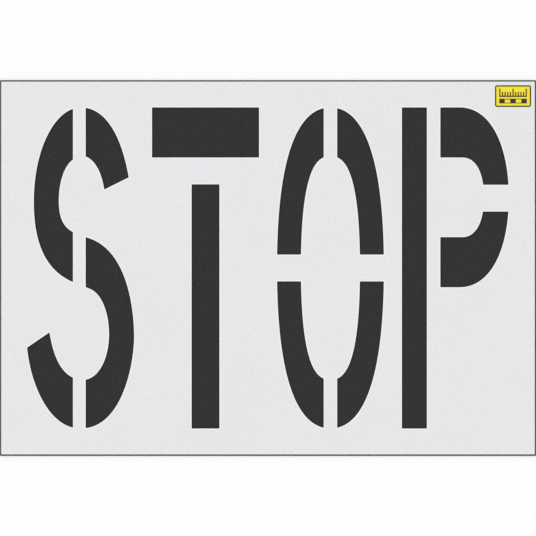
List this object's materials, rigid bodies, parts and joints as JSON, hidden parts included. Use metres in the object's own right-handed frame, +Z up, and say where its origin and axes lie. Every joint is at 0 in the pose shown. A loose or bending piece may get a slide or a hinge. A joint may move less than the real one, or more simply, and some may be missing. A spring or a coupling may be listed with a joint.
{
  "type": "road marking stencil",
  "caption": "Flat plastic road marking stencil with a traffic word cut through it as letters joined by bridges, and a small film label in one corner.",
  "frame": {"origin": "centre of the sheet's underside, where it lies on the road", "axes": "+X along the reading direction of the word, +Y towards the tops of the letters, +Z up out of the face that is read"},
  "size_m": [1.0162, 0.7112, 0.0034],
  "materials": {
    "sheet": "matte",
    "adhesive": "matte",
    "film": "satin",
    "ink": "satin"
  },
  "bodies": {
    "root": {"stencil_sheet": "sheet", "label_adhesive": "adhesive", "label_film": "film", "label_frame_print": "ink", "label_scale_print": "ink", "label_bar_print": "ink"}
  },
  "joints": []
}
